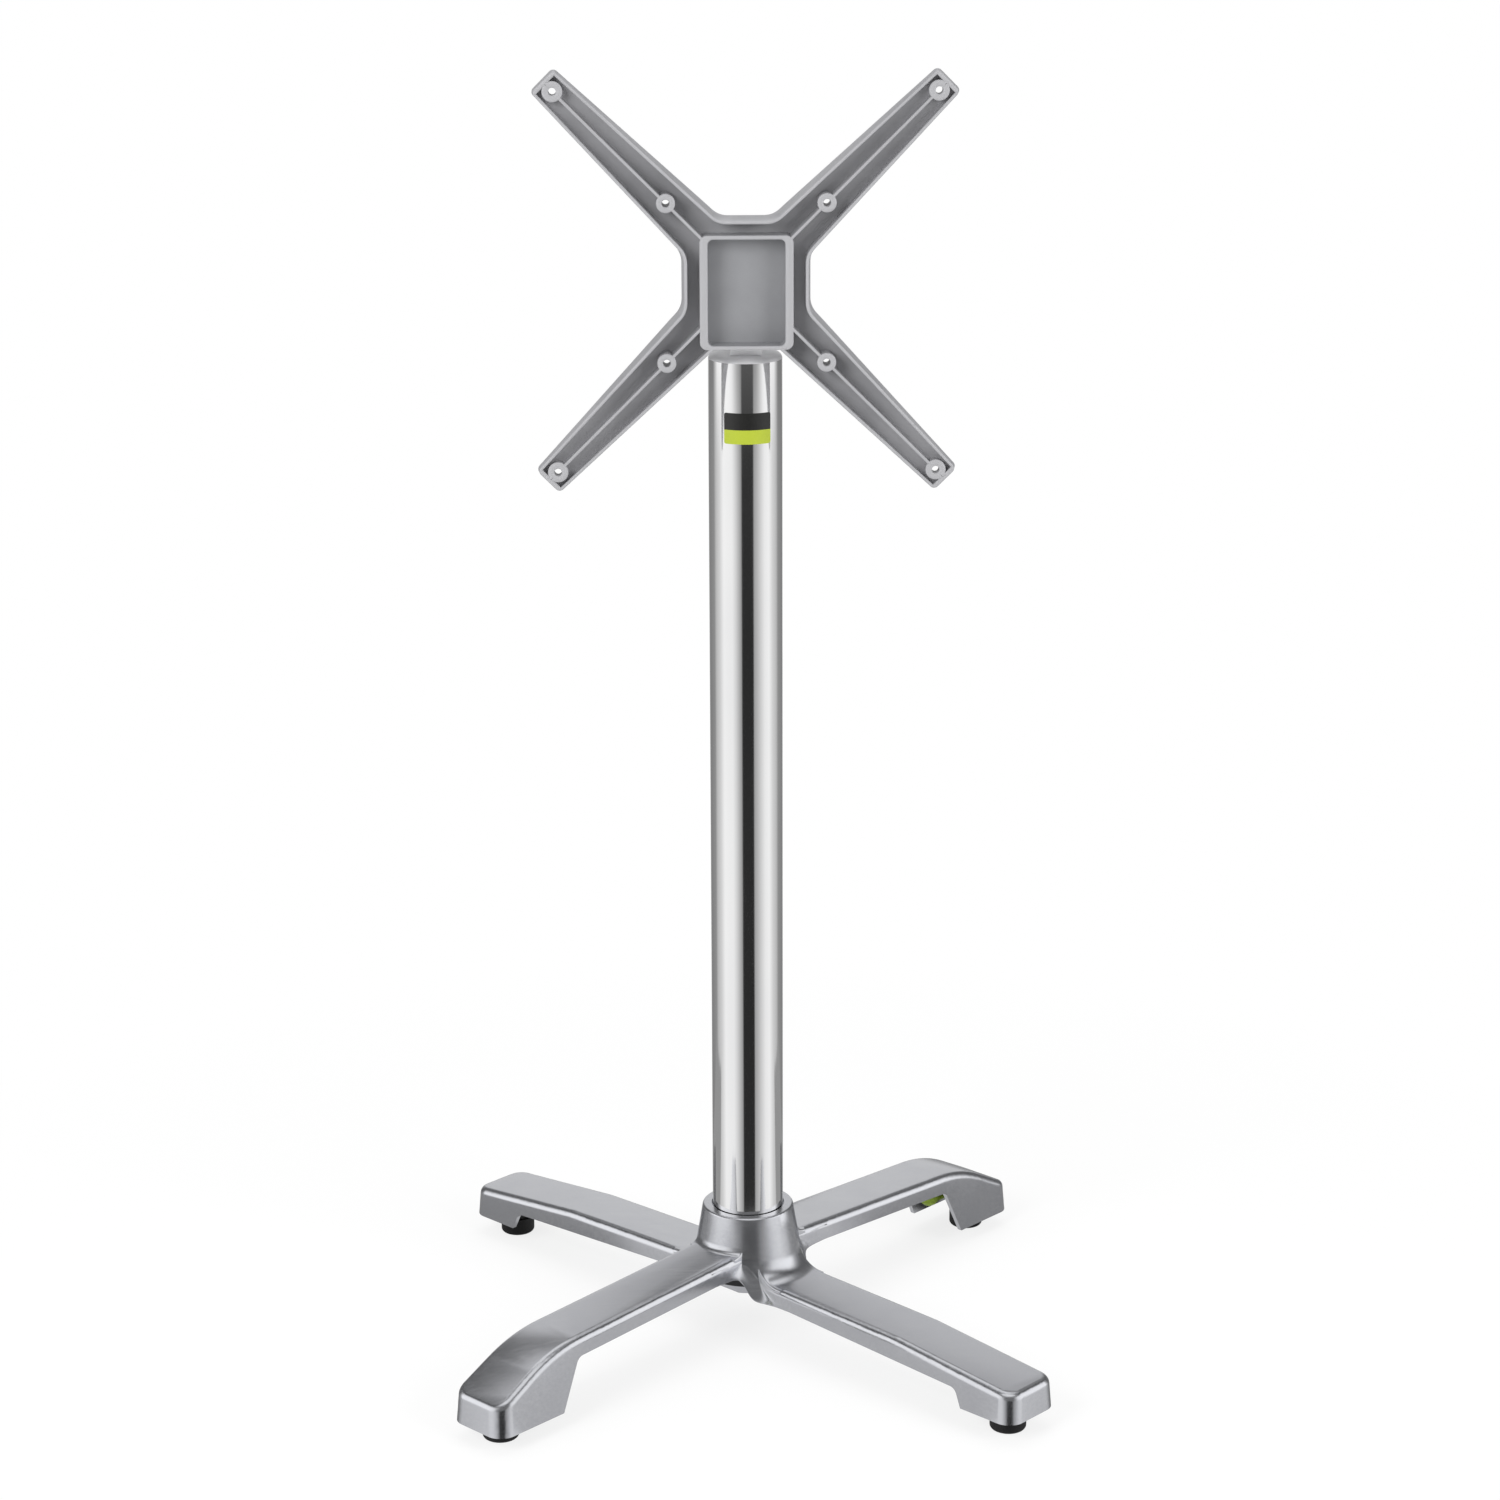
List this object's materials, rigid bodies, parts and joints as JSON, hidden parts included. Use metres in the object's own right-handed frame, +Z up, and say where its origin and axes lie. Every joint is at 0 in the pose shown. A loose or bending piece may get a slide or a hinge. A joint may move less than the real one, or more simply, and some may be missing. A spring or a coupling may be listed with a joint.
{
  "type": "folding table base",
  "caption": "Bar-height four star cast table base with a round column, self-levelling feet and a ribbed top spider that tilts upright for storage.",
  "frame": {"origin": "on the floor, midway between the four feet, on the column axis", "axes": "+Z up along the column, +X along the tilt hinge, -Y the way the upright top spider faces"},
  "size_m": [0.5636, 0.5636, 1.2628],
  "materials": {
    "cast_aluminium": "satin",
    "polished_column": "polished",
    "cast_head": "matt as cast",
    "cast_spider": "matt as cast",
    "steel": "plain",
    "bronze": "plain",
    "black_plastic": "matt",
    "black_tube": "matt",
    "lime_plastic": "semi-gloss",
    "foot_rubber": "matt"
  },
  "bodies": {
    "base": {"base_casting": "cast_aluminium", "column_tube": "polished_column", "tie_rod": "steel", "tie_rod_washer": "steel", "tie_rod_nut": "steel", "column_head": "cast_head", "hinge_bush_left": "bronze", "hinge_bush_right": "bronze", "foot_cylinder_1": "black_plastic", "fluid_bladder_1": "lime_plastic", "fluid_line_1": "black_tube", "foot_cylinder_2": "black_plastic", "fluid_bladder_2": "lime_plastic", "fluid_line_2": "black_tube", "foot_cylinder_3": "black_plastic", "fluid_bladder_3": "lime_plastic", "fluid_line_3": "black_tube", "foot_cylinder_4": "black_plastic", "fluid_bladder_4": "lime_plastic", "fluid_line_4": "black_tube", "line_junction": "black_plastic"},
    "foot_1": {"foot_piston_1": "steel", "foot_pad_1": "foot_rubber"},
    "foot_2": {"foot_piston_2": "steel", "foot_pad_2": "foot_rubber"},
    "foot_3": {"foot_piston_3": "steel", "foot_pad_3": "foot_rubber"},
    "foot_4": {"foot_piston_4": "steel", "foot_pad_4": "foot_rubber"},
    "top": {"top_spider": "cast_spider", "hinge_bolt": "steel", "hinge_nut": "steel", "lever_pin": "steel", "lever_spring": "steel"},
    "lever": {"release_lever": "black_plastic"}
  },
  "joints": [
    {"name": "foot_1_level", "type": "slide", "parent": "base", "child": "foot_1", "axis": [0, 0, 1], "range_m": [-0.004, 0.004]},
    {"name": "foot_2_level", "type": "slide", "parent": "base", "child": "foot_2", "axis": [0, 0, 1], "range_m": [-0.004, 0.004]},
    {"name": "foot_3_level", "type": "slide", "parent": "base", "child": "foot_3", "axis": [0, 0, 1], "range_m": [-0.004, 0.004]},
    {"name": "foot_4_level", "type": "slide", "parent": "base", "child": "foot_4", "axis": [0, 0, 1], "range_m": [-0.004, 0.004]},
    {"name": "top_tilt", "type": "hinge", "parent": "base", "child": "top", "pos_m": [0, -0.026, 1.033], "axis": [1, 0, 0], "range_deg": [-90, 0]},
    {"name": "lever_pull", "type": "hinge", "parent": "top", "child": "lever", "pos_m": [0, -0.0295, 1.08], "axis": [1, 0, 0], "range_deg": [0, 12], "stiffness_Nm_per_rad": 0.3, "springref_deg": -20.05}
  ],
  "couplings": [
    {"joint": "foot_2_level", "follows": "foot_1_level", "ratio": -1},
    {"joint": "foot_3_level", "follows": "foot_1_level", "ratio": 1},
    {"joint": "foot_4_level", "follows": "foot_1_level", "ratio": -1}
  ]
}
